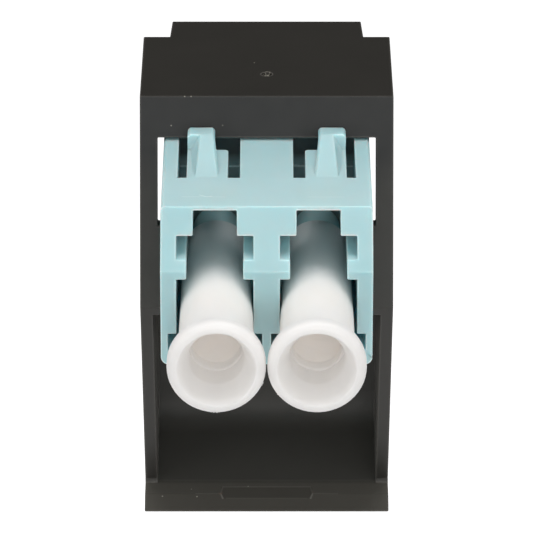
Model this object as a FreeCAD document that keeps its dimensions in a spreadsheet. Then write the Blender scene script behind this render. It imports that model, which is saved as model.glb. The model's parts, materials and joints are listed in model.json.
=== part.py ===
"""Angled fibre coupler module: a hooded snap-in housing that carries a duplex adapter and its dust plugs.

Frame, in millimetres: X to the right, Y into the wall, Z up. The origin is the middle of the panel seat,
so the hood stands out towards -Y. The adapter has a frame of its own, at its middle, between the ports
and on their axes, tipped about X so that the front ports look out and down.
"""
import FreeCAD, Part
import math
import os

import Sketcher

# Driving dimensions: name, value in millimetres or degrees, meaning
DIMENSIONS = [
    ("tilt", 15, "how far the ports look down, in degrees"),
    ("centre_depth", 7.15, "adapter centre in front of the panel seat"),
    ("centre_height", 2.15, "adapter centre above the seat's middle"),
    ("module_width", 15.8, "hood, across"),
    ("hood_depth", 9.9, "roof edge in front of the seat"),
    ("apex_depth", 11.03, "cheek apex in front of the seat"),
    ("apex_margin", 0.4, "apex below the tunnel floor"),
    ("roof_rise", 8.72, "roof above the port axes"),
    ("roof_wall", 1.1, "roof thickness"),
    ("cheek_wall", 0.8, "thickness of the cheeks beside the recess"),
    ("bottom_drop", 17.54, "bottom of the lip below the seat's middle"),
    ("lip_rise", 1.0, "height of the lip's sloped face"),
    ("lip_reach", 2.5, "lip in front of the seat"),
    ("shelf_reach", 1.5, "front edge of the shelf in front of the seat"),
    ("shelf_rise", 0.55, "rise of the shelf from its front edge to its foot"),
    ("cheek_foot", 0.2, "lower end of the cheeks in front of the seat"),
    ("toe_rise", 0.25, "facet at the lower end of the cheeks"),
    ("tunnel_floor", 1.0, "thickness of the floor under the adapter"),
    ("recess_back", 6.6, "recess wall behind the adapter centre"),
    ("recess_depth", 3.5, "back of the scoop behind the seat"),
    ("scoop_rise", 3.9, "height of the scoop's ramp"),
    ("scoop_wall", 1.0, "thickness of the scoop"),
    ("scoop_round", 3.0, "radius between the ramp and the recess wall"),
    ("wing_wall", 0.7, "thickness of the side wings beside the chamber"),
    ("wing_depth", 5.4, "side wings behind the seat"),
    ("wing_drop", 13.4, "top of the side wings below the roof edge"),
    ("tab_width", 12.45, "hook tab at its root"),
    ("tab_tip_width", 12.2, "hook tab at its tip"),
    ("tab_length", 2.75, "hook tab behind the roof edge"),
    ("tab_thickness", 0.9, "hook tab"),
    ("latch_width", 6.4, "snap tongue"),
    ("latch_thickness", 0.95, "snap tongue"),
    ("latch_gap", 0.8, "slots beside the snap tongue"),
    ("latch_root", 0.9, "root of the snap tongue behind the seat"),
    ("latch_grip", 2.1, "panel thickness that the wedge snaps behind"),
    ("latch_drop", 0.6, "snap wedge below the tongue"),
    ("latch_ramp", 2.4, "length of the wedge's lead-in"),
    ("notch_width", 5.7, "floor of the pry notch in the lip"),
    ("notch_start", 0.8, "rear line of the pry notch in front of the seat"),
    ("notch_angle", 30, "slope of the pry notch, in degrees"),
    ("notch_flank", 50, "lean of the pry notch's sides, in degrees"),
    ("gate_diameter", 0.7, "moulding gate dimple on the roof"),
    ("gate_depth", 0.15, "moulding gate dimple"),
    ("gate_setback", 3.7, "moulding gate behind the roof edge, along the roof"),
    ("adapter_width", 12.8, "adapter body, across"),
    ("adapter_rise", 6.115, "adapter top above the port axes"),
    ("adapter_drop", 3.285, "adapter bottom below the port axes"),
    ("adapter_half", 14.2, "port face from the adapter centre"),
    ("slope_depth", 2.36, "sloped face over the ports, along the axis"),
    ("slope_height", 3.27, "sloped face over the ports, across the axis"),
    ("corner_round", 0.5, "adapter's lower long edges"),
    ("shoulder_round", 0.25, "adapter's upper long edges"),
    ("fit_gap", 0.05, "adapter in its window"),
    ("top_gap", 0.15, "window over the adapter"),
    ("plate_wall", 1.0, "front plate over the stop tabs, along the axis"),
    ("slit_width", 0.4, "open slit beside the adapter"),
    ("slit_rise", 1.1, "foot of the slits above the port axes"),
    ("slit_clear", 0.3, "chamber walls outside the slits, so that these look straight through"),
    ("channel_drop", 0.6, "side channels below the top of the tunnel floor"),
    ("stop_height", 2.2, "stop tabs on the adapter's sides"),
    ("stop_length", 1.5, "stop tabs, along the axis"),
    ("port_pitch", 6.25, "between the two ports"),
    ("port_size", 4.65, "square part of a port"),
    ("neck_width", 3.43, "narrow part of a port"),
    ("neck_height", 1.12, "narrow part of a port"),
    ("lug_height", 1.18, "channel for the latch lugs over the neck"),
    ("slot_width", 2.65, "latch slot over the lug channel"),
    ("slot_height", 1.27, "latch slot over the lug channel"),
    ("slot_depth", 5.5, "latch slot, from the port face"),
    ("key_width", 5.7, "lower part of a port with its side notches"),
    ("key_height", 1.07, "side notches"),
    ("web", 1.0, "half of the wall between front and rear ports"),
    ("holder_diameter", 2.9, "sleeve holder tube"),
    ("holder_reach", 3.9, "sleeve holder tube from the adapter centre"),
    ("sleeve_diameter", 1.62, "split sleeve, outside"),
    ("sleeve_bore", 1.246, "split sleeve, inside"),
    ("sleeve_length", 6.8, "split sleeve"),
    ("sleeve_slit", 0.22, "gap along the split sleeve"),
    ("sleeve_play", 0.04, "split sleeve in its holder, all round"),
    ("ferrule_hole", 1.4, "hole in the end of the sleeve holder"),
    ("finger_root", 7.35, "root of the snap fingers from the adapter centre"),
    ("finger_tip", 1.7, "hook end of the snap fingers from the adapter centre"),
    ("finger_step", 1.2, "inner part of the finger short of the hook"),
    ("finger_inner", 2.37, "inner edge of a snap finger"),
    ("finger_outer", 4.9, "outer edge of a snap finger"),
    ("finger_block", 1.64, "inner edge of the slot beside the finger"),
    ("finger_slot_end", 0.8, "rear end of the finger slots from the adapter centre"),
    ("hook_inner", 3.2, "inner edge of the hook"),
    ("hook_rise", 1.0, "hook above the adapter top"),
    ("hook_bevel", 0.15, "corners of the hook and of the finger's step"),
    ("ridge_tip_width", 0.9, "ridge along the finger at the hook"),
    ("ridge_root_width", 1.45, "ridge along the finger at its root"),
    ("ridge_flare", 0.3, "ridge at its root inside the hook's inner edge"),
    ("plug_tip", 4.1, "plug tip from the adapter centre"),
    ("plug_length", 17.87, "plug from tip to rim"),
    ("plug_nose", 4.1, "plug shaft diameter at its tip"),
    ("plug_shaft", 4.6, "plug shaft diameter at its rim"),
    ("plug_lean", 0.53, "front plugs lean together, in degrees"),
    ("rim_diameter", 5.86, "plug rim"),
    ("rim_thickness", 1.3, "plug rim"),
    ("rim_crown", 0.45, "rounded lip of the rim, along the axis"),
    ("rim_bevel", 0.2, "rear edge of the rim"),
    ("mouth_diameter", 4.7, "funnel mouth in the rim"),
    ("mouth_bore", 3.34, "bore behind the funnel"),
    ("funnel_depth", 1.65, "funnel mouth"),
    ("step_depth", 3.45, "step in the bore, from the rim"),
    ("floor_bore", 3.06, "bore behind the step"),
    ("mouth_depth", 4.3, "floor of the bore, from the rim"),
    ("nose_bore", 2.8, "hollow nose of the plug"),
    ("nose_depth", 9.7, "hollow nose of the plug"),
    ("nose_chamfer", 0.4, "lead-in on the plug's nose"),
]

# How far a cut or a sunk root runs past the surface that it crosses
OVERRUN = 30
ROOT = 0.4

# Corners that round the lip of a plug, in degrees from its rim to its front
LIP_CORNERS = (30, 60)


class Size:
    """A number with the sheet formula that gives it."""

    def __init__(self, value, formula):
        self.value = float(value)
        self.formula = formula

    def __add__(self, other):
        other = as_size(other)
        return Size(self.value + other.value, f"({self.formula} + {other.formula})")

    def __sub__(self, other):
        other = as_size(other)
        return Size(self.value - other.value, f"({self.formula} - {other.formula})")

    def __mul__(self, other):
        other = as_size(other)
        return Size(self.value * other.value, f"({self.formula} * {other.formula})")

    def __truediv__(self, other):
        other = as_size(other)
        return Size(self.value / other.value, f"({self.formula} / {other.formula})")

    def __neg__(self):
        return Size(-self.value, f"(0 - {self.formula})")

    def __rsub__(self, other):
        return as_size(other) - self

    __radd__ = __add__
    __rmul__ = __mul__


def as_size(number):
    """A plain number as a Size."""
    if isinstance(number, Size):
        return number
    return Size(number, f"({number})")


def sine(angle):
    return Size(math.sin(math.radians(angle.value)), f"sin({angle.formula})")


def cosine(angle):
    return Size(math.cos(math.radians(angle.value)), f"cos({angle.formula})")


def tangent(angle):
    return Size(math.tan(math.radians(angle.value)), f"tan({angle.formula})")


doc = FreeCAD.newDocument("fibre_coupler_module")
sheet = doc.addObject("Spreadsheet::Sheet", "dims")


def fill_sheet():
    """Writes the driving dimensions to the sheet and returns them by name."""
    sizes = {}
    for row, (alias, value, meaning) in enumerate(DIMENSIONS, start=1):
        sheet.set(f"A{row}", meaning)
        sheet.set(f"B{row}", str(value))
        sheet.setAlias(f"B{row}", alias)
        sizes[alias] = Size(value, f"dims.{alias}")
    doc.recompute()
    return sizes


D = fill_sheet()


# Sketches and features

def new_body(name):
    body = doc.addObject("PartDesign::Body", name)
    body.Label = name
    return body


def origin_plane(body, role):
    for feature in body.Origin.OriginFeatures:
        if feature.Role == role:
            return feature
    raise ValueError(role)


def bind(obj, path, size):
    obj.setExpression(path, as_size(size).formula)


def new_sketch(body, name, role, shift=(0, 0, 0), axis=(0, 0, 1), turn=0):
    """A sketch on an origin plane, moved by shift and turned about axis, both in the plane's own axes."""
    sketch = body.newObject("Sketcher::SketchObject", name)
    sketch.AttachmentSupport = [(origin_plane(body, role), "")]
    sketch.MapMode = "FlatFace"
    shift = [as_size(part) for part in shift]
    turn = as_size(turn)
    base = FreeCAD.Vector(*[part.value for part in shift])
    sketch.AttachmentOffset = FreeCAD.Placement(base, FreeCAD.Rotation(FreeCAD.Vector(*axis), turn.value))
    for letter, part in zip("xyz", shift):
        bind(sketch, f"AttachmentOffset.Base.{letter}", part)
    if turn.value:
        bind(sketch, "AttachmentOffset.Rotation.Angle", turn)
    return sketch


def tie_point(sketch, edge, end, point):
    """Ties one end of an edge to its place, measured from the sketch's origin."""
    for kind, part in zip(("DistanceX", "DistanceY"), point):
        index = sketch.addConstraint(Sketcher.Constraint(kind, -1, 1, edge, end, part.value))
        bind(sketch, f"Constraints[{index}]", part)


def draw_outline(sketch, points):
    """A closed outline of straight edges with every corner tied to the sheet."""
    corners = [tuple(as_size(part) for part in point) for point in points]
    spots = [FreeCAD.Vector(x.value, y.value, 0) for x, y in corners]
    first = sketch.GeometryCount
    count = len(corners)
    for start, stop in zip(spots, spots[1:] + spots[:1]):
        sketch.addGeometry(Part.LineSegment(start, stop), False)
    for number in range(count):
        following = first + (number + 1) % count
        sketch.addConstraint(Sketcher.Constraint("Coincident", first + number, 2, following, 1))
    for number, corner in enumerate(corners):
        tie_point(sketch, first + number, 1, corner)


def draw_circle(sketch, x, y, diameter):
    x, y, diameter = as_size(x), as_size(y), as_size(diameter)
    centre = FreeCAD.Vector(x.value, y.value, 0)
    circle = Part.Circle(centre, FreeCAD.Vector(0, 0, 1), diameter.value / 2)
    edge = sketch.addGeometry(circle, False)
    tie_point(sketch, edge, 3, (x, y))
    index = sketch.addConstraint(Sketcher.Constraint("Diameter", edge, diameter.value))
    bind(sketch, f"Constraints[{index}]", diameter)


def extrude(kind, body, name, sketch, length, symmetric=False, flip=False):
    """A pad or pocket of a sketch, which has to change the body's volume the right way."""
    doc.recompute()
    before = body.Shape.Volume if body.Tip and not body.Shape.isNull() else 0
    feature = body.newObject(f"PartDesign::{kind}", name)
    feature.Profile = sketch
    feature.SideType = "Symmetric" if symmetric else "One side"
    feature.Reversed = flip
    bind(feature, "Length", length)
    doc.recompute()
    grown = body.Shape.Volume - before
    if (kind == "Pad") != (grown > 0) or abs(grown) < 1e-6:
        raise RuntimeError(f"{name} changed the volume by {grown}")
    return feature


def pad(body, name, sketch, length, **how):
    return extrude("Pad", body, name, sketch, length, **how)


def pocket(body, name, sketch, length, **how):
    return extrude("Pocket", body, name, sketch, length, **how)


def near(first, second):
    return abs(first - as_size(second).value) < 1e-4


def round_edges(body, name, radius, wanted):
    """Rounds the edges that the test picks."""
    doc.recompute()
    base = body.Tip
    names = [f"Edge{number}" for number, edge in enumerate(base.Shape.Edges, start=1) if wanted(edge)]
    if not names:
        raise RuntimeError(f"{name} finds no edge")
    feature = body.newObject("PartDesign::Fillet", name)
    feature.Base = (base, names)
    bind(feature, "Radius", radius)
    doc.recompute()


def place_on_adapter(body, x):
    """Puts a body's frame on the adapter's frame, moved across by x."""
    tip = FreeCAD.Rotation(FreeCAD.Vector(1, 0, 0), D["tilt"].value)
    x = as_size(x)
    base = FreeCAD.Vector(x.value, -D["centre_depth"].value, D["centre_height"].value)
    body.Placement = FreeCAD.Placement(base, tip)
    bind(body, "Placement.Base.x", x)
    bind(body, "Placement.Base.y", -D["centre_depth"])
    bind(body, "Placement.Base.z", D["centre_height"])
    bind(body, "Placement.Rotation.Angle", D["tilt"])


# Places that the pieces share, in the adapter's frame

half_width = D["adapter_width"] / 2
window_side = half_width + D["fit_gap"]
chamber_side = half_width + D["slit_width"]
window_top = D["adapter_rise"] + D["top_gap"]
floor_top = -(D["adapter_drop"] + D["fit_gap"])
floor_under = floor_top - D["tunnel_floor"]
stop_top = D["stop_height"] - D["adapter_drop"]
port_half = D["port_size"] / 2
neck_top = port_half + D["neck_height"]
lug_top = neck_top + D["lug_height"]
port_places = {"left": -(D["port_pitch"] / 2), "right": D["port_pitch"] / 2}

SINE = sine(D["tilt"])
COSINE = cosine(D["tilt"])


def to_wall(back, up):
    """A point of the adapter's frame as Y and Z."""
    return (back * COSINE - up * SINE - D["centre_depth"], back * SINE + up * COSINE + D["centre_height"])


def height_at(depth, up):
    """Z where a plane along the adapter, at the given height over the axes, meets the given Y."""
    return D["centre_height"] + (up + (depth + D["centre_depth"]) * SINE) / COSINE


def back_at(depth, up):
    """How far behind the adapter's middle the given Y is, at the given height over the axes."""
    return (depth + D["centre_depth"] + up * SINE) / COSINE


# Housing

def tunnel_sketch(body, name, role, lift=0):
    """A sketch in the adapter's frame: side view on YZ, end view on XZ and plan on XY, moved by lift."""
    lift = as_size(lift)
    depth, height = -D["centre_depth"], D["centre_height"]
    if role == "YZ_Plane":
        return new_sketch(body, name, role, (depth, height, 0), (0, 0, 1), D["tilt"])
    if role == "XZ_Plane":
        shift = (0, height + lift * SINE, -depth - lift * COSINE)
        return new_sketch(body, name, role, shift, (1, 0, 0), D["tilt"])
    shift = (0, depth - lift * SINE, height + lift * COSINE)
    return new_sketch(body, name, role, shift, (1, 0, 0), D["tilt"])


def make_housing():
    body = new_body("housing")
    roof_rear = height_at(as_size(0), D["roof_rise"])
    roof_edge = height_at(-D["hood_depth"], D["roof_rise"])
    apex_up = floor_top - D["apex_margin"]
    apex = height_at(-D["apex_depth"], apex_up)
    lip_bottom = -D["bottom_drop"]
    shelf_edge = lip_bottom + D["lip_rise"]
    shelf_foot = shelf_edge + D["shelf_rise"]
    shelf_slope = D["shelf_rise"] / (D["shelf_reach"] - D["cheek_foot"])
    cheek_slope = (apex - shelf_foot) / (D["apex_depth"] - D["cheek_foot"])
    toe_reach = D["toe_rise"] / cheek_slope

    # Hood: roof, front plate, cheeks and lip as one side view
    sketch = new_sketch(body, "hood_side", "YZ_Plane")
    draw_outline(sketch, [
        (0, roof_rear),
        (-D["hood_depth"], roof_edge),
        (-D["apex_depth"], apex),
        (-D["cheek_foot"] - toe_reach, shelf_foot + D["toe_rise"]),
        (-D["cheek_foot"] - toe_reach, shelf_foot - toe_reach * shelf_slope),
        (-D["shelf_reach"], shelf_edge),
        (-D["lip_reach"], lip_bottom),
        (0, lip_bottom),
    ])
    pad(body, "hood", sketch, D["module_width"], symmetric=True)

    # Wings behind the seat, which go through the panel
    sketch = new_sketch(body, "wing_side", "YZ_Plane")
    draw_outline(sketch, [
        (-D["cheek_foot"], roof_rear - D["wing_drop"]),
        (D["wing_depth"], roof_rear - D["wing_drop"]),
        (D["wing_depth"], shelf_edge),
        (-D["cheek_foot"], shelf_edge),
    ])
    pad(body, "wings", sketch, (chamber_side + D["wing_wall"]) * 2, symmetric=True)

    # Hook tab, level with the roof, and narrower towards its tip
    tab_start = back_at(as_size(0), D["roof_rise"])
    sketch = tunnel_sketch(body, "tab_plan", "XY_Plane", D["roof_rise"])
    draw_outline(sketch, [
        (-(D["tab_width"] / 2), tab_start - ROOT),
        (D["tab_width"] / 2, tab_start - ROOT),
        (D["tab_tip_width"] / 2, tab_start + D["tab_length"]),
        (-(D["tab_tip_width"] / 2), tab_start + D["tab_length"]),
    ])
    pad(body, "tab", sketch, D["tab_thickness"], flip=True)

    # Chamber behind the front plate, open at the back: a thin plate above, ribs for the stop tabs below
    edge_back = back_at(-D["hood_depth"], D["roof_rise"])
    apex_back = back_at(-D["apex_depth"], apex_up)
    plate_slope = (edge_back - apex_back) / (D["roof_rise"] - apex_up)

    def behind_plate(up):
        return (apex_back + (up - apex_up) * plate_slope + D["plate_wall"], up)

    ceiling = D["roof_rise"] - D["roof_wall"]
    rib_top = stop_top + D["fit_gap"]
    sketch = tunnel_sketch(body, "chamber_side", "YZ_Plane")
    draw_outline(sketch, [
        (-D["fit_gap"], floor_top),
        (as_size(OVERRUN), floor_top),
        (as_size(OVERRUN), ceiling),
        behind_plate(ceiling),
        behind_plate(rib_top),
        (-D["fit_gap"], rib_top),
    ])
    pocket(body, "chamber", sketch, chamber_side * 2, symmetric=True)

    # Wider above and behind the stop tabs, so that the slits look straight through beside the adapter
    channel_side = chamber_side + D["slit_clear"]
    sketch = tunnel_sketch(body, "channel_side", "YZ_Plane")
    draw_outline(sketch, [
        (as_size(OVERRUN), rib_top),
        (as_size(OVERRUN), ceiling),
        behind_plate(ceiling),
        behind_plate(rib_top),
    ])
    pocket(body, "channels_above", sketch, channel_side * 2, symmetric=True)
    sketch = tunnel_sketch(body, "channel_end", "XZ_Plane", D["stop_length"] + D["fit_gap"])
    for side in (-1, 1):
        draw_outline(sketch, [
            (window_side * side, floor_top - D["channel_drop"]),
            (channel_side * side, floor_top - D["channel_drop"]),
            (channel_side * side, rib_top),
            (window_side * side, rib_top),
        ])
    pocket(body, "channels_below", sketch, as_size(OVERRUN))

    # Window in the front plate: close to the adapter below, open slits beside it above
    sketch = tunnel_sketch(body, "window_end", "XZ_Plane")
    draw_outline(sketch, [
        (-window_side, floor_top),
        (window_side, floor_top),
        (window_side, D["slit_rise"]),
        (chamber_side, D["slit_rise"]),
        (chamber_side, window_top),
        (-chamber_side, window_top),
        (-chamber_side, D["slit_rise"]),
        (-window_side, D["slit_rise"]),
    ])
    pocket(body, "window", sketch, as_size(OVERRUN), symmetric=True)

    # Recess between the cheeks, under the tunnel floor, with a scoop that goes behind the seat
    scoop_top = shelf_foot + D["scoop_rise"]
    outside = -(D["apex_depth"] + ROOT)
    shelf_outside = shelf_foot + (outside + D["cheek_foot"]) * shelf_slope
    sketch = new_sketch(body, "recess_side", "YZ_Plane")
    draw_outline(sketch, [
        (outside, height_at(outside, floor_under)),
        to_wall(D["recess_back"], floor_under),
        (D["recess_depth"], scoop_top),
        (-D["cheek_foot"], shelf_foot),
        (outside, shelf_outside),
    ])
    recess_side = D["module_width"] / 2 - D["cheek_wall"]
    pocket(body, "recess", sketch, recess_side * 2, symmetric=True)

    def in_scoop_corner(edge):
        ends = [vertex.Point for vertex in edge.Vertexes]
        return len(ends) == 2 and all(near(p.y, D["recess_depth"]) and near(p.z, scoop_top) for p in ends)

    round_edges(body, "scoop_corner", D["scoop_round"], in_scoop_corner)

    # Hollow behind the scoop, which leaves its wall, the wings and the snap tongue
    tongue_top = shelf_edge + D["latch_thickness"]
    ramp_slope = D["scoop_rise"] / (D["recess_depth"] + D["cheek_foot"])
    wall_rear = D["recess_back"] + D["scoop_wall"]
    corner_depth = D["recess_depth"] + D["scoop_wall"]
    far = as_size(OVERRUN)
    sketch = new_sketch(body, "hollow_side", "YZ_Plane")
    draw_outline(sketch, [
        to_wall(wall_rear, floor_top + ROOT),
        (corner_depth, scoop_top),
        (corner_depth - (scoop_top - tongue_top) / ramp_slope, tongue_top),
        (far, tongue_top),
        (far, to_wall(wall_rear, floor_top + ROOT)[1]),
    ])
    pocket(body, "hollow", sketch, chamber_side * 2, symmetric=True)

    # Slots that free the snap tongue from the wings, and its wedge
    sketch = new_sketch(body, "tongue_plan", "XY_Plane", (0, 0, shelf_edge))
    tongue_side = D["latch_width"] / 2
    for side in (-1, 1):
        draw_outline(sketch, [
            (tongue_side * side, D["latch_root"]),
            ((tongue_side + D["latch_gap"]) * side, D["latch_root"]),
            ((tongue_side + D["latch_gap"]) * side, far),
            (tongue_side * side, far),
        ])
    pocket(body, "tongue_slots", sketch, D["latch_thickness"] * 2, symmetric=True)
    sketch = new_sketch(body, "wedge_side", "YZ_Plane")
    draw_outline(sketch, [
        (D["latch_grip"], shelf_edge + ROOT),
        (D["latch_grip"], shelf_edge - D["latch_drop"]),
        (D["latch_grip"] + D["latch_ramp"], shelf_edge),
        (D["latch_grip"] + D["latch_ramp"], shelf_edge + ROOT),
    ])
    pad(body, "wedge", sketch, D["latch_width"], symmetric=True)

    # Pry notch: a trough with leaning sides that runs forwards and down through the lip's front edge
    notch_top = shelf_edge + (D["shelf_reach"] - D["notch_start"]) * shelf_slope
    notch_place = (0, notch_top, D["notch_start"])
    sketch = new_sketch(body, "notch_end", "XZ_Plane", notch_place, (1, 0, 0), D["notch_angle"])
    floor_half = D["notch_width"] / 2
    mouth_half = floor_half + D["lip_rise"] * tangent(D["notch_flank"])
    draw_outline(sketch, [
        (-floor_half, 0),
        (floor_half, 0),
        (mouth_half, D["lip_rise"]),
        (-mouth_half, D["lip_rise"]),
    ])
    pocket(body, "notch", sketch, D["lip_reach"] * 2, flip=True)

    # Gate dimple on the roof
    sketch = tunnel_sketch(body, "gate_plan", "XY_Plane", D["roof_rise"])
    draw_circle(sketch, 0, edge_back + D["gate_setback"], D["gate_diameter"])
    pocket(body, "gate", sketch, D["gate_depth"])
    return body


# Adapter

def port_outline(centre):
    """One port seen along its axis: notched square, neck and lug channel."""
    right = [
        (D["key_width"] / 2, -port_half),
        (D["key_width"] / 2, D["key_height"] - port_half),
        (port_half, D["key_height"] - port_half),
        (port_half, port_half),
        (D["neck_width"] / 2, port_half),
        (D["neck_width"] / 2, neck_top),
        (port_half, neck_top),
        (port_half, lug_top),
    ]
    left = [(-x, z) for x, z in reversed(right)]
    return [(centre + x, z) for x, z in right + left]


def make_adapter_half(name, front):
    """Half of the adapter's body, from its middle to one port face."""
    body = new_body(name)
    out = -1 if front else 1
    face = D["adapter_half"] * out

    sketch = new_sketch(body, "body_side", "YZ_Plane")
    draw_outline(sketch, [
        (0, -D["adapter_drop"]),
        (face, -D["adapter_drop"]),
        (face, D["adapter_rise"] - D["slope_height"]),
        (face - D["slope_depth"] * out, D["adapter_rise"]),
        (0, D["adapter_rise"]),
    ])
    pad(body, "block", sketch, D["adapter_width"], symmetric=True)

    def along_side(edge, height):
        ends = [vertex.Point for vertex in edge.Vertexes]
        level = all(near(p.z, height) and near(abs(p.x), half_width) for p in ends)
        return len(ends) == 2 and level and not near(ends[0].y, ends[1].y)

    round_edges(body, "lower_edges", D["corner_round"], lambda edge: along_side(edge, -D["adapter_drop"]))
    round_edges(body, "upper_edges", D["shoulder_round"], lambda edge: along_side(edge, D["adapter_rise"]))

    # Ports with their latch slots, cut in from the face
    for side, centre in port_places.items():
        sketch = new_sketch(body, f"port_{side}_end", "XZ_Plane", (0, 0, -face))
        draw_outline(sketch, port_outline(centre))
        pocket(body, f"port_{side}", sketch, D["adapter_half"] - D["web"], flip=not front)
        sketch = new_sketch(body, f"slot_{side}_end", "XZ_Plane", (0, 0, -face))
        slot_half = D["slot_width"] / 2
        draw_outline(sketch, [
            (centre - slot_half, lug_top - ROOT),
            (centre + slot_half, lug_top - ROOT),
            (centre + slot_half, lug_top + D["slot_height"]),
            (centre - slot_half, lug_top + D["slot_height"]),
        ])
        pocket(body, f"slot_{side}", sketch, D["slot_depth"], flip=not front)

    # Sleeve holders on the wall between the ports, bored for the split sleeves
    seat = D["sleeve_length"] / 2 + D["sleeve_play"]
    bores = [
        ("holders", pad, D["holder_diameter"], D["holder_reach"], not front),
        ("sleeve_seats", pocket, D["sleeve_diameter"] + D["sleeve_play"] * 2, seat, front),
        ("ferrule_holes", pocket, D["ferrule_hole"], D["holder_reach"] + ROOT, front),
    ]
    for step, feature, diameter, length, flip in bores:
        sketch = new_sketch(body, f"{step}_end", "XZ_Plane")
        for centre in port_places.values():
            draw_circle(sketch, centre, 0, diameter)
        feature(body, step, sketch, length, flip=flip)

    if front:
        add_fingers(body)
    else:
        add_stops(body)
    place_on_adapter(body, 0)
    return body


def add_fingers(body):
    """Two snap fingers in the adapter's top, with hooks that stand in front of the window's top edge."""
    top = D["adapter_rise"]
    root, tip = -D["finger_root"], -D["finger_tip"]
    slot_edge = D["port_pitch"] / 2 + port_half
    short_tip = tip - D["finger_step"]
    bevel = D["hook_bevel"]
    for name, side in (("left", -1), ("right", 1)):
        sketch = new_sketch(body, f"finger_{name}_plan", "XY_Plane", (0, 0, top))
        outline = [
            (D["finger_block"], root),
            (D["finger_inner"], root),
            (D["finger_inner"], short_tip - bevel),
            (D["finger_inner"] + bevel, short_tip),
            (D["hook_inner"] - bevel, short_tip),
            (D["hook_inner"], short_tip + bevel),
            (D["hook_inner"], tip),
            (D["finger_outer"], tip),
            (D["finger_outer"], root),
            (slot_edge, root),
            (slot_edge, -D["finger_slot_end"]),
            (D["finger_block"], -D["finger_slot_end"]),
        ]
        draw_outline(sketch, [(x * side, y) for x, y in outline])
        pocket(body, f"finger_{name}_slot", sketch, top - lug_top + ROOT)

        # Hook across the end of the finger, with bevelled corners
        crest = top + D["hook_rise"]
        sketch = new_sketch(body, f"hook_{name}_end", "XZ_Plane", (0, 0, -tip))
        outline = [
            (D["hook_inner"], top - ROOT),
            (D["hook_inner"], crest - bevel),
            (D["hook_inner"] + bevel, crest),
            (D["finger_outer"] - bevel, crest),
            (D["finger_outer"], crest - bevel),
            (D["finger_outer"], top - ROOT),
        ]
        draw_outline(sketch, [(x * side, z) for x, z in outline])
        pad(body, f"hook_{name}", sketch, D["finger_step"])

        # Ridge from the hook down to the root, wider and lower on the way
        sections = []
        for place, reach, inner, height, width in (
            ("tip", short_tip, D["hook_inner"], crest, D["ridge_tip_width"]),
            ("root", root, D["hook_inner"] - D["ridge_flare"], top, D["ridge_root_width"]),
        ):
            sketch = new_sketch(body, f"ridge_{name}_{place}", "XZ_Plane", (0, 0, -reach))
            outline = [
                (inner, top - ROOT),
                (inner, height - bevel),
                (inner + bevel, height),
                (inner + width, height),
                (D["finger_outer"], top - ROOT),
            ]
            draw_outline(sketch, [(x * side, z) for x, z in outline])
            sections.append(sketch)
        doc.recompute()
        ridge = body.newObject("PartDesign::AdditiveLoft", f"ridge_{name}")
        ridge.Profile = sections[0]
        ridge.Sections = [sections[1]]
        ridge.Ruled = True
        doc.recompute()


def add_stops(body):
    """Stop tabs on the sides, which seat behind the front plate's ribs."""
    sketch = new_sketch(body, "stops_end", "XZ_Plane")
    low = D["corner_round"] - D["adapter_drop"]
    for side in (-1, 1):
        draw_outline(sketch, [
            ((half_width - ROOT) * side, low),
            ((chamber_side - D["fit_gap"]) * side, low),
            ((chamber_side - D["fit_gap"]) * side, stop_top),
            ((half_width - ROOT) * side, stop_top),
        ])
    pad(body, "stops", sketch, D["stop_length"], flip=True)


def make_split_sleeve(name, centre):
    body = new_body(name)
    sketch = new_sketch(body, "ring", "XZ_Plane")
    draw_circle(sketch, 0, 0, D["sleeve_diameter"])
    draw_circle(sketch, 0, 0, D["sleeve_bore"])
    pad(body, "tube", sketch, D["sleeve_length"], symmetric=True)
    sketch = new_sketch(body, "slit_end", "XZ_Plane")
    slit_half = D["sleeve_slit"] / 2
    draw_outline(sketch, [
        (-slit_half, 0),
        (slit_half, 0),
        (slit_half, D["sleeve_diameter"]),
        (-slit_half, D["sleeve_diameter"]),
    ])
    pocket(body, "slit", sketch, D["sleeve_length"] * 2, symmetric=True)
    place_on_adapter(body, centre)
    return body


# Dust plugs

def make_dust_plug(name, centre, front, lean):
    """A dust plug: hollow nose, tapered shaft, and rim with a rounded lip and a funnel mouth."""
    body = new_body(name)
    out = -1 if front else 1
    length = D["plug_length"]
    rear = length - D["rim_thickness"]
    tip, shaft, rim = D["plug_nose"] / 2, D["plug_shaft"] / 2, D["rim_diameter"] / 2
    mouth, bore, nose = D["mouth_diameter"] / 2, D["mouth_bore"] / 2, D["nose_bore"] / 2
    floor = D["floor_bore"] / 2
    lip = []
    for corner in LIP_CORNERS:
        inwards = 1 - math.cos(math.radians(corner))
        backwards = 1 - math.sin(math.radians(corner))
        lip.append((rim - (rim - mouth) * inwards, length - D["rim_crown"] * backwards))
    profile = [
        (nose, 0),
        (tip - D["nose_chamfer"], 0),
        (tip, D["nose_chamfer"]),
        (shaft, rear),
        (rim - D["rim_bevel"], rear),
        (rim, rear + D["rim_bevel"]),
        (rim, length - D["rim_crown"]),
        *lip,
        (mouth, length),
        (bore, length - D["funnel_depth"]),
        (bore, length - D["step_depth"]),
        (floor, length - D["step_depth"]),
        (floor, length - D["mouth_depth"]),
        (0, length - D["mouth_depth"]),
        (0, D["nose_depth"]),
        (nose, D["nose_depth"]),
    ]
    sketch = new_sketch(body, "half_section", "XY_Plane", (0, D["plug_tip"] * out, 0), (0, 0, 1), lean)
    draw_outline(sketch, [(radius, as_size(reach) * out) for radius, reach in profile])
    doc.recompute()
    turned = body.newObject("PartDesign::Revolution", "turned")
    turned.Profile = sketch
    turned.ReferenceAxis = (sketch, ["V_Axis"])
    turned.Angle = 360
    doc.recompute()
    place_on_adapter(body, centre)
    return body


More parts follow.
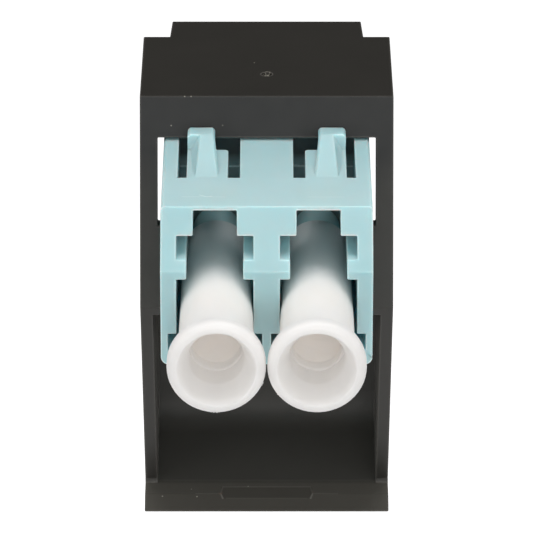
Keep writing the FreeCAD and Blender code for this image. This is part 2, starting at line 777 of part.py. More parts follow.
def make_parts():
    parts = [
        make_housing(),
        make_adapter_half("adapter_front_body", front=True),
        make_adapter_half("adapter_rear_body", front=False),
    ]
    leans = {"left": D["plug_lean"], "right": -D["plug_lean"]}
    for side, centre in port_places.items():
        parts.append(make_split_sleeve(f"split_sleeve_{side}", centre))
        parts.append(make_dust_plug(f"dust_plug_front_{side}", centre, True, leans[side]))
        parts.append(make_dust_plug(f"dust_plug_rear_{side}", centre, False, 0))
    return parts


def check_and_write(parts):
    """Stops on any failed object or bad shape, and otherwise writes one file for each piece."""
    doc.recompute()
    for obj in doc.Objects:
        if {"Invalid", "Error"} & set(obj.State):
            raise RuntimeError(f"{obj.Name} failed: {obj.State}")
    for part in parts:
        if part.Shape.isNull() or not part.Shape.isValid() or len(part.Shape.Solids) != 1:
            raise RuntimeError(f"{part.Label} has a bad shape")
    os.makedirs("parts", exist_ok=True)
    for part in parts:
        part.Shape.exportStep(f"parts/{part.Label}.step")


check_and_write(make_parts())
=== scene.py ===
"""Looks of the angled fibre coupler module: moulded plastics, soft plugs, ceramic sleeves and studio light.

Lengths are in metres, apart from the tables that say mm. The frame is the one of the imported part: X to the
right, Y into the wall, Z up, with the origin in the middle of the panel seat.
"""
import json
import math
import random

import bpy
from mathutils import Matrix, Vector


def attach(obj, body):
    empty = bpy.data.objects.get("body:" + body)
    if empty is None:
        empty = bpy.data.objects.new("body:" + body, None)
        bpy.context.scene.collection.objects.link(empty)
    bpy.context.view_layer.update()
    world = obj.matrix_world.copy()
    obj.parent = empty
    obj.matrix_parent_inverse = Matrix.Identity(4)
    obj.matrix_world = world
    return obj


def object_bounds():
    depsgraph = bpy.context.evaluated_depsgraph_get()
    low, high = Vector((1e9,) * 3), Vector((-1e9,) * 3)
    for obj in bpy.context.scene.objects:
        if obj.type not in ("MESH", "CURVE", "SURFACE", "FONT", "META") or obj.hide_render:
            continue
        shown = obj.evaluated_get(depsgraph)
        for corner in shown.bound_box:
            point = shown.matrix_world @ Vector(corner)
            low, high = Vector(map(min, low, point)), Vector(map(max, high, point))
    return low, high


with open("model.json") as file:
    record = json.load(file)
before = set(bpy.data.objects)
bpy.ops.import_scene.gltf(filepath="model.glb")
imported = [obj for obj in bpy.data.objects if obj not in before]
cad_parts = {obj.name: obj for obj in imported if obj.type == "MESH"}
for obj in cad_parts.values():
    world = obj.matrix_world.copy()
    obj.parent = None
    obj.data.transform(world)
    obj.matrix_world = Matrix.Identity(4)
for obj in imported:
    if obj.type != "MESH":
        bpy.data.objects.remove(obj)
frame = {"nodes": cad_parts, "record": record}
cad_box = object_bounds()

MM = 0.001

# Camera, from the photograph: square picture, long lens, a little above the level of the ports
VIEW_ELEVATION = math.radians(9)
VIEW_TARGET = Vector((-0.01, -11.75, 0)) * MM
VIEW_DISTANCE = 287 * MM
VIEW_CLIP = 1 * MM
SENSOR_WIDTH = 36
FOCAL_LENGTH = 311.9

# Floor: how far it is below the part, its size, and the light added where it is looked at
FLOOR_DROP = 45 * MM
FLOOR_SIZE = 6.0
FLOOR_LIFT = 0.78
FLOOR_SHADER = {
    "Base Color": (0.8, 0.8, 0.8, 1.0),
    "Roughness": 0.9,
    "Specular IOR Level": 0.0,
    "Emission Color": (1.0, 1.0, 1.0, 1.0),
}

# World: its white where it is looked at, its light on the part from in front, and from behind and above,
# and where these two begin, as levels with the fade to either side
WHITE = (1.0, 1.0, 1.0, 1.0)
WHITE_LEVEL = 1.0
FRONT_LEVEL = 0.50
BACK_LEVEL = 0.01
BEHIND = (0.05, 0.30)
OVERHEAD = (0.20, 0.15)

# Lamps, all disks aimed at one point: place, width, power in watts
LAMP_AIM = Vector((0, -0.01, 0))
LAMPS = {
    "overhead": ((0, -0.10, 0.60), 0.45, 2.1),
    "front": ((0.06, -0.60, 0.02), 0.45, 0.94),
    "left": ((-0.45, -0.35, 0.10), 0.40, 0.54),
    "right": ((0.45, -0.35, 0.10), 0.40, 0.50),
}

# Rounding that the moulds leave on the edges, by node, and on the plugs
EDGE_WIDTHS = {
    "housing": 0.07 * MM,
    "adapter_front_body": 0.07 * MM,
    "adapter_rear_body": 0.07 * MM,
    "split_sleeve_left": 0.02 * MM,
    "split_sleeve_right": 0.02 * MM,
}
PLUG_EDGE = 0.06 * MM
EDGE_SEGMENTS = 2
WELD_DISTANCE = 0.001 * MM

# Surfaces that meet at more than CREASE make an edge, which stays sharp if it is shorter than SHORTEST_EDGE
# times its rounding. Points that agree to PLACE_DIGITS are one.
CREASE = math.radians(4)
SHORTEST_EDGE = 2.5
PLACE_DIGITS = 7

# Range that most of a noise lies in, and the noises, as scale and detail
NOISE_RANGE = (0.3, 0.7)
HOUSING_CLOUDS = (220, 3)
HOUSING_GRAIN = (24000, 2)
HOUSING_SMEARS = (900, 4)
HOUSING_FLECKS = (7000, 3)
ADAPTER_CLOUDS = (180, 3)
ADAPTER_SMEARS = (700, 4)
PLUG_CLOUDS = (300, 2)
PLUG_GRAIN = (5000, 3)
PLUG_SMEARS = (1200, 3)
SLEEVE_GRAIN = (14000, 3)

# Painted highlights along the outer edges: how far they reach, rays that look for them from inside, and the
# share of these rays that runs free below a flat face and below an edge
EDGE_REACH = 0.10 * MM
EDGE_RAYS = 8
EDGE_SHARES = (0.98, 0.70)

# Blacks of the housing, by region: its own black on the roof and on faces that don't look forward, painted
# shade on the top of the front plate, and painted light on its foot, on the scoop, the scoop's flanks, the
# lip and the shelf. Then painted edge highlights, lines of painted highlight and wear, dust and rubbed
# corners. Pairs are the dark and the light end of the grain.
ROOF_BLACK = ((0.0292, 0.0278, 0.0250), (0.0332, 0.0314, 0.0282))
PLATE_TOP_SHADE_BLACK = ((0.0165, 0.0172, 0.0167), (0.0192, 0.0197, 0.0190))
PLATE_FOOT_LIGHT_BLACK = ((0.0365, 0.0348, 0.0313), (0.0412, 0.0392, 0.0352))
SCOOP_LIGHT_BLACK = ((0.0445, 0.0430, 0.0385), (0.0505, 0.0486, 0.0436))
FLANK_LIGHT_BLACK = ((0.0980, 0.0950, 0.0870), (0.1050, 0.1015, 0.0930))
LIP_LIGHT_BLACK = ((0.0700, 0.0660, 0.0575), (0.0770, 0.0724, 0.0630))
SHELF_LIGHT_BLACK = (0.0960, 0.0905, 0.0790)
EDGE_HIGHLIGHT_BLACK = (0.150, 0.141, 0.128)
WEAR_AND_HIGHLIGHT_BLACK = (0.185, 0.175, 0.158)
DUST = (0.34, 0.32, 0.27)
RUBBED = (0.16, 0.11, 0.085)
CLOUD_SHARE = 0.6
GRAIN_SHARE = 0.4
BLACK_HIGHLIGHT_SHARE = 0.6
BLACK_ROUGHNESS = (0.36, 0.44)
BLACK_SHEEN = 0.20
BLACK_BUMP = (0.2, 0.006 * MM)

# Borders of these regions, in place or in the way that a face looks: a level and the fade to either side
PLATE_FACING = (-0.865, 0.065)
PLATE_SHADE_BORDER = (5.75 * MM, 1.25 * MM)
SHEEN_FACING = (0.6, 0.2)
SCOOP_SIDE = (7.125 * MM, 0.015 * MM)
SCOOP_TOP = (-4.5 * MM, 1.0 * MM)
FLANK_FACING = (0.7, 0.1)
LIP_TOP = (-16.0 * MM, 0.12 * MM)
SHELF_EDGE = (-16.54 * MM, 0.02 * MM)
NOTCH_TOP = (-16.244 * MM, 0.02 * MM)
NOTCH_SIDE = (2.95 * MM, 0.05 * MM)
FLECK_BORDER = (0.56, 0.06)

# Dust on the housing, in mm: place, radius, strength
SPECKS = [
    ((-0.78, -4.44, 11.90), 0.045, 0.8),
    ((-5.10, -9.90, 10.43), 0.06, 0.7),
    ((-4.70, -9.90, 10.43), 0.06, 0.7),
    ((-5.94, -10.06, 8.61), 0.05, 0.9),
    ((-2.74, -10.06, 8.62), 0.05, 0.35),
    ((-6.76, -1.65, -16.69), 0.06, 0.8),
    ((-4.89, -1.04, -16.34), 0.05, 0.8),
    ((-4.52, -1.67, -16.71), 0.06, 0.8),
    ((-1.20, -0.75, -16.22), 0.05, 0.9),
]

# Gate mark on the roof, in mm: place, radius. Then the share of it that is full, and its strength.
GATE = ((0, -6.07, 11.31), 0.33)
GATE_CORE = 0.7
GATE_STRENGTH = 0.8

# Rubbed corners of the pry notch, in mm: place, radius. Then the share of each that is full, and strength.
RUBS = [
    ((-2.95, -1.45, -16.52), 0.22),
    ((3.02, -1.45, -16.52), 0.22),
]
RUB_CORE = 0.3
RUB_STRENGTH = 0.6

# Light lines along the edges of the pry notch and the shelf, painted highlight with some wear, in mm: start,
# end, half width, strength
WEAR_AND_HIGHLIGHT_LINES = [
    ((-2.85, -0.80, -16.244), (2.85, -0.80, -16.244), 0.07, 0.45),
    ((-2.85, -0.80, -16.244), (-2.962, -1.50, -16.540), 0.07, 0.35),
    ((-2.962, -1.50, -16.540), (-2.85, -1.755, -16.796), 0.09, 0.80),
    ((2.85, -0.80, -16.244), (2.962, -1.50, -16.540), 0.07, 0.25),
    ((2.962, -1.50, -16.540), (2.85, -1.755, -16.796), 0.09, 0.80),
    ((-2.60, -1.755, -16.796), (2.60, -1.755, -16.796), 0.06, 0.20),
    ((-4.60, -1.50, -16.540), (-2.962, -1.50, -16.540), 0.06, 0.30),
    ((2.962, -1.50, -16.540), (4.60, -1.50, -16.540), 0.06, 0.30),
]

# Adapter's own frame: its middle, on the port axes, tipped so that the front ports look down
ADAPTER_CENTRE = Vector((0, -7.15, 2.15)) * MM
ADAPTER_TILT = math.radians(15)
ADAPTER_TOP = 6.115 * MM

# Colours of the adapter: its own aqua, painted edge highlights, painted shade in the finger slots and
# painted highlights on top
AQUA = ((0.407, 0.613, 0.637), (0.435, 0.639, 0.663))
AQUA_EDGE_HIGHLIGHT = (0.72, 0.95, 0.97)
AQUA_HIGHLIGHT_SHARE = 0.9
SLOT_SHADE_PAINT = (0.010, 0.014, 0.015)
TOP_HIGHLIGHT = (0.72, 0.83, 0.84)
AQUA_ROUGHNESS = (0.30, 0.36)
AQUA_SHADER = {
    "Subsurface Weight": 0.9,
    "Subsurface Radius": (0.5, 0.92, 1.0),
    "Subsurface Scale": 1.0 * MM,
}

# Painted shade down the slots behind the snap fingers, in the adapter's frame: borders, then heights and how
# dark it is at each
SLOT_FRONT = (-1.06 * MM, 0.04 * MM)
SLOT_BACK = (0, 0.02 * MM)
SLOT_TOP = (ADAPTER_TOP - 0.06 * MM, 0.04 * MM)
SLOT_HEIGHTS = (4.4 * MM, 5.0 * MM)
SLOT_SHADES = (0.55, 0.93)

# Painted highlights along faint lines on top of the adapter, in mm across and back from its middle: start,
# end, half width, strength
TOP_HIGHLIGHT_LINES = [
    ((-5.08, -10.34), (-2.54, -10.39), 0.07, 0.30),
    ((2.48, -10.39), (4.66, -10.39), 0.07, 0.25),
    ((-4.06, -10.08), (-3.63, -10.36), 0.06, 0.75),
    ((-3.63, -10.36), (-3.33, -10.27), 0.06, 0.75),
]

# Colours of the plugs, with a painted aqua reflection on the nose and painted shade on the rim, and where
# along the adapter's axis nose and rim begin
PLUG_WHITE = ((0.860, 0.824, 0.792), (0.882, 0.847, 0.815))
NOSE_AQUA_REFLECTION = (0.79, 0.842, 0.838)
RIM_SHADE_WHITE = (0.820, 0.792, 0.768)
NOSE_END = (11.5 * MM, 2.5 * MM)
RIM_START = (20.8 * MM, 0.6 * MM)
PLUG_ROUGHNESS = (0.44, 0.56)
PLUG_BUMP = (0.12, 0.008 * MM)
PLUG_SHADER = {
    "Subsurface Weight": 1.0,
    "Subsurface Radius": (1.0, 0.97, 0.93),
    "Subsurface Scale": 1.9 * MM,
    "Specular IOR Level": 0.35,
}

# Ceramic of the split sleeves
CERAMIC = ((0.84, 0.83, 0.79), (0.91, 0.90, 0.87))
CERAMIC_RANGE = (0.35, 0.65)
CERAMIC_ROUGHNESS = (0.14, 0.24)
CERAMIC_SHADER = {
    "Subsurface Weight": 0.2,
    "Subsurface Scale": 0.2 * MM,
}

# Front plugs, as the part has them, in mm and degrees
PORT_ACROSS = 3.125
PLUG_TIP = 4.1
PLUG_LENGTH = 17.87
PLUG_LEAN = 0.53
RIM_RADIUS = 2.93
RIM_CROWN = 0.45

# Flash along the rims of the front plugs: side of the plug, middle and span round its rim in degrees, and
# greatest height in mm
FLASH = {
    "rim_flash_bottom": (-1, -92, 26, 0.12),
    "rim_flash_nick_left": (-1, -22, 8, 0.10),
    "rim_flash_nick_right": (1, -143, 7, 0.10),
}

# Section of the flash in mm: a foot sunk into the rim, and a ridge that rises from just below its surface
FLASH_STEPS_PER_DEGREE = 2
FOOT_DEPTH = 0.08
FOOT_HALF = 0.05
RIDGE_SINK = 0.03
RIDGE_WANDER = 0.02
RIDGE_LOWEST = 0.2
SECTION_POINTS = 3


# Node helpers

def add_node(tree, kind, inputs=None, **settings):
    """A shader node with its settings, and its inputs set to values or linked to sockets."""
    node = tree.nodes.new(kind)
    for name, value in settings.items():
        setattr(node, name, value)
    for key, value in (inputs or {}).items():
        if isinstance(value, bpy.types.NodeSocket):
            tree.links.new(value, node.inputs[key])
        else:
            node.inputs[key].default_value = value
    return node


def calculate(tree, operation, first, second=0.0):
    return add_node(tree, "ShaderNodeMath", {0: first, 1: second}, operation=operation).outputs[0]


def both(tree, first, second):
    """Where two masks overlap, or one mask at a strength."""
    return calculate(tree, "MULTIPLY", first, second)


def vector_node(tree, operation, first, second=(0, 0, 0)):
    return add_node(tree, "ShaderNodeVectorMath", {0: first, 1: second}, operation=operation)


def split(tree, vector):
    """The X, Y and Z of a vector."""
    return add_node(tree, "ShaderNodeSeparateXYZ", {"Vector": vector}).outputs


def noise(tree, place, kind):
    scale, detail = kind
    inputs = {"Vector": place, "Scale": scale, "Detail": detail}
    return add_node(tree, "ShaderNodeTexNoise", inputs).outputs["Fac"]


def spread(tree, value, low, high, to_low=0.0, to_high=1.0):
    """The value moved from one range to another, and kept inside it."""
    inputs = {"Value": value, "From Min": low, "From Max": high, "To Min": to_low, "To Max": to_high}
    return add_node(tree, "ShaderNodeMapRange", inputs, clamp=True).outputs["Result"]


def above(tree, value, border):
    """1 above a border and 0 below it. A border is a level with its fade to either side."""
    level, fade = border
    return spread(tree, value, level - fade, level + fade)


def below(tree, value, border):
    """1 below a border and 0 above it."""
    level, fade = border
    return spread(tree, value, level + fade, level - fade)


def mix_colour(tree, share, first, second):
    """Two colours mixed by a mask, each a socket or red, green and blue."""
    node = add_node(tree, "ShaderNodeMix", data_type="RGBA")
    values = {"Factor_Float": share, "A_Color": first, "B_Color": second}
    for socket in node.inputs:
        value = values.get(socket.identifier)
        if isinstance(value, bpy.types.NodeSocket):
            tree.links.new(value, socket)
        elif value is not None:
            socket.default_value = (*value, 1.0)
    return next(socket for socket in node.outputs if socket.identifier == "Result_Color")


def new_material(name):
    """A material, its tree, its shader and the place on the object, in the part's frame."""
    material = bpy.data.materials.new(name)
    material.use_nodes = True
    tree = material.node_tree
    place = add_node(tree, "ShaderNodeTexCoord").outputs["Object"]
    return material, tree, tree.nodes["Principled BSDF"], place


def set_inputs(shader, values):
    for name, value in values.items():
        shader.inputs[name].default_value = value


def add_roughness(tree, shader, pattern, limits):
    tree.links.new(spread(tree, pattern, *NOISE_RANGE, *limits), shader.inputs["Roughness"])


def add_bump(tree, shader, height, bump):
    strength, distance = bump
    inputs = {"Height": height, "Strength": strength, "Distance": distance}
    normal = add_node(tree, "ShaderNodeBump", inputs).outputs["Normal"]
    tree.links.new(normal, shader.inputs["Normal"])


def spot(tree, place, centre, radius, core=0.6):
    """1 near a point given in mm, fading to 0 at the radius."""
    away = vector_node(tree, "DISTANCE", place, Vector(centre) * MM).outputs["Value"]
    return spread(tree, away, radius * MM, radius * core * MM)


def stroke(tree, place, start, end, half_width, core=0.2):
    """1 along a line between two points given in mm, fading out across it and at its ends."""
    start, end = Vector(start) * MM, Vector(end) * MM
    run = end - start
    offset = vector_node(tree, "SUBTRACT", place, start).outputs["Vector"]
    along = vector_node(tree, "DOT_PRODUCT", offset, run.normalized()).outputs["Value"]
    inside = spread(tree, along, 0, run.length, 0, run.length)
    nearest = vector_node(tree, "SCALE", run.normalized())
    tree.links.new(inside, nearest.inputs["Scale"])
    away = vector_node(tree, "DISTANCE", offset, nearest.outputs["Vector"]).outputs["Value"]
    return spread(tree, away, half_width * MM, half_width * core * MM)


def strongest(tree, masks):
    """The greatest of some masks, each with its strength."""
    total = None
    for mask, strength in masks:
        mask = both(tree, mask, strength)
        total = mask if total is None else calculate(tree, "MAXIMUM", total, mask)
    return total


def convex_edges(tree):
    """1 along the outer edges of a moulding, fading to 0 within their reach, and 0 in inner corners."""
    within = add_node(tree, "ShaderNodeAmbientOcclusion", {"Distance": EDGE_REACH},
                      samples=EDGE_RAYS, inside=True, only_local=True)
    return spread(tree, within.outputs["AO"], *EDGE_SHARES)


def adapter_place(tree, place):
    """A place in the adapter's own frame: across, back and up from its middle."""
    turn = Matrix.Rotation(-ADAPTER_TILT, 3, "X")
    inputs = {"Vector": place, "Location": -(turn @ ADAPTER_CENTRE), "Rotation": (-ADAPTER_TILT, 0, 0)}
    return add_node(tree, "ShaderNodeMapping", inputs, vector_type="POINT").outputs["Vector"]


# Materials

def housing_blacks(tree, place, facing, tone):
    """The black of each region: the roof's own black, painted shade on the top of the front plate and
    painted light on its foot, and painted light on the scoop with its flanks and on the lip with its shelf.
    """
    axes = split(tree, place)
    aside = calculate(tree, "ABSOLUTE", axes["X"])
    # Front plate: painted shade on its top, painted light on its foot
    plate_top_shade = mix_colour(tree, tone, *PLATE_TOP_SHADE_BLACK)
    plate_foot_light = mix_colour(tree, tone, *PLATE_FOOT_LIGHT_BLACK)
    plate = mix_colour(tree, above(tree, axes["Z"], PLATE_SHADE_BORDER), plate_foot_light, plate_top_shade)
    roof = mix_colour(tree, tone, *ROOF_BLACK)
    colour = mix_colour(tree, below(tree, facing["Y"], PLATE_FACING), roof, plate)

    # Scoop: painted light
    scoop = both(tree, below(tree, aside, SCOOP_SIDE), below(tree, axes["Z"], SCOOP_TOP))
    colour = mix_colour(tree, scoop, colour, mix_colour(tree, tone, *SCOOP_LIGHT_BLACK))

    # Lip and shelf: painted light
    beside_notch = above(tree, aside, NOTCH_SIDE)
    past_notch = calculate(tree, "MAXIMUM", beside_notch, above(tree, axes["Z"], NOTCH_TOP))
    shelf = both(tree, past_notch, above(tree, axes["Z"], SHELF_EDGE))
    lip = mix_colour(tree, shelf, mix_colour(tree, tone, *LIP_LIGHT_BLACK), SHELF_LIGHT_BLACK)
    colour = mix_colour(tree, below(tree, axes["Z"], LIP_TOP), colour, lip)

    # Flanks of the scoop: painted light
    sideways = above(tree, calculate(tree, "ABSOLUTE", facing["X"]), FLANK_FACING)
    return mix_colour(tree, both(tree, scoop, sideways), colour, mix_colour(tree, tone, *FLANK_LIGHT_BLACK))


def add_marks(tree, place, colour):
    """The housing's colour with painted highlights on its outer edges, light lines of painted highlight and
    wear along the notch and shelf edges, dust, the gate mark and rubbed corners.
    """
    # Painted highlights along the outer edges
    edges = both(tree, convex_edges(tree), BLACK_HIGHLIGHT_SHARE)
    colour = mix_colour(tree, edges, colour, EDGE_HIGHLIGHT_BLACK)
    # Light lines of painted highlight with some wear along the notch and shelf edges
    wear_and_highlight = [(stroke(tree, place, *line), strength) for *line, strength in WEAR_AND_HIGHLIGHT_LINES]
    colour = mix_colour(tree, strongest(tree, wear_and_highlight), colour, WEAR_AND_HIGHLIGHT_BLACK)
    flecks = above(tree, noise(tree, place, HOUSING_FLECKS), FLECK_BORDER)
    gate = both(tree, spot(tree, place, *GATE, GATE_CORE), flecks)
    dust = [(spot(tree, place, centre, radius), strength) for centre, radius, strength in SPECKS]
    colour = mix_colour(tree, strongest(tree, dust + [(gate, GATE_STRENGTH)]), colour, DUST)
    rubs = [(spot(tree, place, centre, radius, RUB_CORE), RUB_STRENGTH) for centre, radius in RUBS]
    return mix_colour(tree, both(tree, strongest(tree, rubs), flecks), colour, RUBBED)


def black_plastic():
    """Moulded black with a fine grain, with light and shade painted into a tone of its own on each region of
    the housing.
    """
    material, tree, shader, place = new_material("black_moulding")
    normal = add_node(tree, "ShaderNodeNewGeometry").outputs["Normal"]
    facing = split(tree, normal)
    clouds = noise(tree, place, HOUSING_CLOUDS)
    grain = noise(tree, place, HOUSING_GRAIN)
    tone = calculate(tree, "ADD", both(tree, clouds, CLOUD_SHARE), both(tree, grain, GRAIN_SHARE))
    tone = spread(tree, tone, *NOISE_RANGE)
    colour = add_marks(tree, place, housing_blacks(tree, place, facing, tone))
    tree.links.new(colour, shader.inputs["Base Color"])
    add_roughness(tree, shader, noise(tree, place, HOUSING_SMEARS), BLACK_ROUGHNESS)
    # No sheen on faces that look up: the roof in the photo mirrors none of the white behind it
    sheen = both(tree, below(tree, facing["Z"], SHEEN_FACING), BLACK_SHEEN)
    tree.links.new(sheen, shader.inputs["Specular IOR Level"])
    add_bump(tree, shader, grain, BLACK_BUMP)
    return material


def aqua_plastic():
    """Smooth aqua that light gets a little way into, with painted highlights on its outer edges and along
    faint lines on top, and painted shade down the finger slots.
    """
    material, tree, shader, place = new_material("aqua_moulding")
    own = adapter_place(tree, place)
    axes = split(tree, own)
    clouds = noise(tree, place, ADAPTER_CLOUDS)
    colour = mix_colour(tree, spread(tree, clouds, *NOISE_RANGE), *AQUA)

    # Painted shade down the finger slots
    in_slots = both(tree, above(tree, axes["Y"], SLOT_FRONT), below(tree, axes["Y"], SLOT_BACK))
    in_slots = both(tree, in_slots, below(tree, axes["Z"], SLOT_TOP))
    shade = both(tree, in_slots, spread(tree, axes["Z"], *SLOT_HEIGHTS, *SLOT_SHADES))
    colour = mix_colour(tree, shade, colour, SLOT_SHADE_PAINT)

    # Painted highlights along faint lines on top
    top_highlights = []
    for start, end, half_width, strength in TOP_HIGHLIGHT_LINES:
        line = stroke(tree, own, (*start, ADAPTER_TOP / MM), (*end, ADAPTER_TOP / MM), half_width)
        top_highlights.append((line, strength))
    colour = mix_colour(tree, strongest(tree, top_highlights), colour, TOP_HIGHLIGHT)
    # Painted highlights along the outer edges
    edges = both(tree, convex_edges(tree), AQUA_HIGHLIGHT_SHARE)
    colour = mix_colour(tree, edges, colour, AQUA_EDGE_HIGHLIGHT)
    tree.links.new(colour, shader.inputs["Base Color"])
    add_roughness(tree, shader, noise(tree, place, ADAPTER_SMEARS), AQUA_ROUGHNESS)
    set_inputs(shader, AQUA_SHADER)
    return material


def white_polythene():
    """Soft white plug material that lets light in, with a painted aqua reflection towards the nose and
    painted shade at the rim.
    """
    material, tree, shader, place = new_material("soft_white")
    clouds = noise(tree, place, PLUG_CLOUDS)
    colour = mix_colour(tree, spread(tree, clouds, *NOISE_RANGE), *PLUG_WHITE)
    along = calculate(tree, "ABSOLUTE", split(tree, adapter_place(tree, place))["Y"])
    # Painted aqua reflection on the nose, then painted shade on the rim
    colour = mix_colour(tree, below(tree, along, NOSE_END), colour, NOSE_AQUA_REFLECTION)
    colour = mix_colour(tree, above(tree, along, RIM_START), colour, RIM_SHADE_WHITE)
    tree.links.new(colour, shader.inputs["Base Color"])
    add_roughness(tree, shader, noise(tree, place, PLUG_SMEARS), PLUG_ROUGHNESS)
    set_inputs(shader, PLUG_SHADER)
    add_bump(tree, shader, noise(tree, place, PLUG_GRAIN), PLUG_BUMP)
    return material


def zirconia():
    """Ground white ceramic of the split sleeves."""
    material, tree, shader, place = new_material("ground_ceramic")
    grain = noise(tree, place, SLEEVE_GRAIN)
    colour = mix_colour(tree, spread(tree, grain, *CERAMIC_RANGE), *CERAMIC)
    tree.links.new(colour, shader.inputs["Base Color"])
    add_roughness(tree, shader, grain, CERAMIC_ROUGHNESS)
    set_inputs(shader, CERAMIC_SHADER)
    return material


# Nodes of the part

def smooth_shading(mesh):
    """Leaves the shading of a node's faces to its modifiers."""
    for name in ("custom_normal", "sharp_edge", "sharp_face"):
        attribute = mesh.attributes.get(name)
        if attribute:
            mesh.attributes.remove(attribute)
    mesh.polygons.foreach_set("use_smooth", [True] * len(mesh.polygons))
    mesh.update()


def mark_creases(mesh, width):
    """Marks the edges at which two surfaces meet at an angle, to be rounded or, if too short, sharp."""
    normals = [corner.vector.copy() for corner in mesh.corner_normals]
    places = [vertex.co.to_tuple(PLACE_DIGITS) for vertex in mesh.vertices]
    sides = {}
    for face in mesh.polygons:
        corners = list(face.loop_indices)
        for here, after in zip(corners, corners[1:] + corners[:1]):
            start, end = mesh.loops[here], mesh.loops[after]
            key = frozenset((places[start.vertex_index], places[end.vertex_index]))
            sides.setdefault(key, []).append((start.edge_index, normals[here] + normals[after]))
    weights = [0.0] * len(mesh.edges)
    sharp = [False] * len(mesh.edges)
    for ends, ((first, normal), (second, other)) in sides.items():
        if normal.angle(other) > CREASE:
            start, end = (Vector(place) for place in ends)
            if (end - start).length > SHORTEST_EDGE * width:
                weights[first] = weights[second] = 1.0
            else:
                sharp[first] = sharp[second] = True
    smooth_shading(mesh)
    mesh.attributes.new("bevel_weight_edge", "FLOAT", "EDGE").data.foreach_set("value", weights)
    mesh.attributes.new("sharp_edge", "BOOLEAN", "EDGE").data.foreach_set("value", sharp)


def soften_edges(obj, width):
    """Rounds the marked edges of a node by the little that its mould leaves."""
    weld = obj.modifiers.new("weld", "WELD")
    weld.merge_threshold = WELD_DISTANCE
    bevel = obj.modifiers.new("edges", "BEVEL")
    bevel.width = width
    bevel.segments = EDGE_SEGMENTS
    bevel.limit_method = "WEIGHT"
    bevel.use_clamp_overlap = False
    bevel.loop_slide = False
    bevel.face_strength_mode = "FSTR_ALL"
    shading = obj.modifiers.new("shading", "WEIGHTED_NORMAL")
    shading.use_face_influence = True
    shading.keep_sharp = True


def dress_nodes(finishes):
    """Gives each node of the part its material and its edges."""
    for row in frame["record"]["subparts"]:
        name, slot = row["node"], row["material_slot"]
        obj = frame["nodes"][name]
        obj.data.materials.clear()
        obj.data.materials.append(finishes[slot])
        width = EDGE_WIDTHS.get(name, PLUG_EDGE)
        mark_creases(obj.data, width)
        soften_edges(obj, width)


def flash_points(draw, side, middle, span, highest):
    """Points of a line of flash in the adapter's frame, in mm: foot, ridge and foot at each step."""
    lean = math.radians(PLUG_LEAN)
    outwards = Vector((-side * math.sin(lean), -math.cos(lean), 0))
    across = Vector((math.cos(lean), -side * math.sin(lean), 0))
    up = Vector((0, 0, 1))
    rim_middle = Vector((side * PORT_ACROSS, -PLUG_TIP, 0)) + outwards * (PLUG_LENGTH - RIM_CROWN)
    steps = FLASH_STEPS_PER_DEGREE * span
    points = []
    for step in range(steps + 1):
        angle = math.radians(middle - span / 2 + span * step / steps)
        radial = across * math.cos(angle) + up * math.sin(angle)
        ragged = highest * draw.uniform(RIDGE_LOWEST, 1.0) * math.sin(math.pi * step / steps)
        ridge = (ragged - RIDGE_SINK, draw.uniform(-RIDGE_WANDER, RIDGE_WANDER))
        for rise, along in ((-FOOT_DEPTH, -FOOT_HALF), ridge, (-FOOT_DEPTH, FOOT_HALF)):
            points.append(rim_middle + radial * (RIM_RADIUS + rise) + outwards * along)
    return points


def flash_faces(points):
    """Faces of a line of flash: its two ends, and three sides along each step."""
    last = len(points) - SECTION_POINTS
    faces = [(0, 1, 2), (last + 2, last + 1, last)]
    for first in range(0, last, SECTION_POINTS):
        for corner in range(SECTION_POINTS):
            start, after = first + corner, first + (corner + 1) % SECTION_POINTS
            faces.append((start, start + SECTION_POINTS, after + SECTION_POINTS, after))
    return faces


def make_flash(name, side, middle, span, highest, finish):
    """A ragged line of flash on the parting line of a front plug's rim, its foot sunk into the rim."""
    points = flash_points(random.Random(name), side, middle, span, highest)
    turn = Matrix.Rotation(ADAPTER_TILT, 3, "X")
    mesh = bpy.data.meshes.new(name)
    mesh.from_pydata([ADAPTER_CENTRE + turn @ point * MM for point in points], [], flash_faces(points))
    mesh.materials.append(finish)
    piece = bpy.data.objects.new(name, mesh)
    bpy.context.scene.collection.objects.link(piece)
    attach(piece, "plug_front_left" if side < 0 else "plug_front_right")


# Stage, light and camera

def seen_directly(tree):
    """1 for rays from the camera, mirrors and glass, and 0 for the rays that light other things."""
    path = add_node(tree, "ShaderNodeLightPath")
    either = calculate(tree, "MAXIMUM", path.outputs["Is Camera Ray"], path.outputs["Is Glossy Ray"])
    return calculate(tree, "MAXIMUM", either, path.outputs["Is Transmission Ray"])


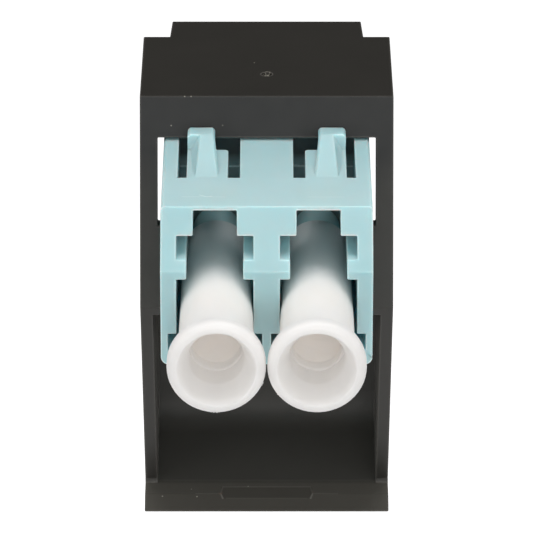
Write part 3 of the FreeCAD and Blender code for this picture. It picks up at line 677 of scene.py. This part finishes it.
def make_floor():
    """A pale floor well below the part, which keeps its shadow and looks white to the camera."""
    lowest = cad_box[0][2] - FLOOR_DROP
    bpy.ops.mesh.primitive_plane_add(size=FLOOR_SIZE, location=(0, 0, lowest))
    floor = bpy.context.object
    floor.name = "floor"
    material, tree, shader, _ = new_material("pale_floor")
    set_inputs(shader, FLOOR_SHADER)
    lift = both(tree, seen_directly(tree), FLOOR_LIFT)
    tree.links.new(lift, shader.inputs["Emission Strength"])
    floor.data.materials.append(material)


def make_world():
    """White where it is looked at; a soft room for the part, bright in front and dim behind and above."""
    world = bpy.data.worlds.new("studio")
    world.use_nodes = True
    tree = world.node_tree
    background = tree.nodes["Background"]
    background.inputs["Color"].default_value = WHITE
    axes = split(tree, add_node(tree, "ShaderNodeTexCoord").outputs["Generated"])
    dim = both(tree, above(tree, axes["Y"], BEHIND), above(tree, axes["Z"], OVERHEAD))
    room = spread(tree, dim, 0, 1, FRONT_LEVEL, BACK_LEVEL)
    strength = spread(tree, seen_directly(tree), 0, 1, room, WHITE_LEVEL)
    tree.links.new(strength, background.inputs["Strength"])
    bpy.context.scene.world = world


def make_lamp(name, place, width, power):
    data = bpy.data.lights.new(name, "AREA")
    data.shape = "DISK"
    data.size = width
    data.energy = power
    lamp = bpy.data.objects.new(name, data)
    lamp.location = place
    lamp.rotation_euler = (LAMP_AIM - Vector(place)).to_track_quat("-Z", "Y").to_euler()
    bpy.context.scene.collection.objects.link(lamp)


def make_camera():
    data = bpy.data.cameras.new("camera")
    data.sensor_width = SENSOR_WIDTH
    data.lens = FOCAL_LENGTH
    data.clip_start = VIEW_CLIP
    camera = bpy.data.objects.new("camera", data)
    towards = Vector((0, -math.cos(VIEW_ELEVATION), math.sin(VIEW_ELEVATION)))
    camera.location = VIEW_TARGET + towards * VIEW_DISTANCE
    camera.rotation_euler = (-towards).to_track_quat("-Z", "Y").to_euler()
    bpy.context.scene.collection.objects.link(camera)
    bpy.context.scene.camera = camera


FINISHES = {
    "black_plastic": black_plastic(),
    "aqua_plastic": aqua_plastic(),
    "white_polythene": white_polythene(),
    "zirconia": zirconia(),
}
dress_nodes(FINISHES)
for flash_name, flash_row in FLASH.items():
    make_flash(flash_name, *flash_row, FINISHES["white_polythene"])
make_floor()
make_world()
for lamp_name, lamp_row in LAMPS.items():
    make_lamp(lamp_name, *lamp_row)
make_camera()
bpy.context.scene.view_settings.view_transform = "Standard"
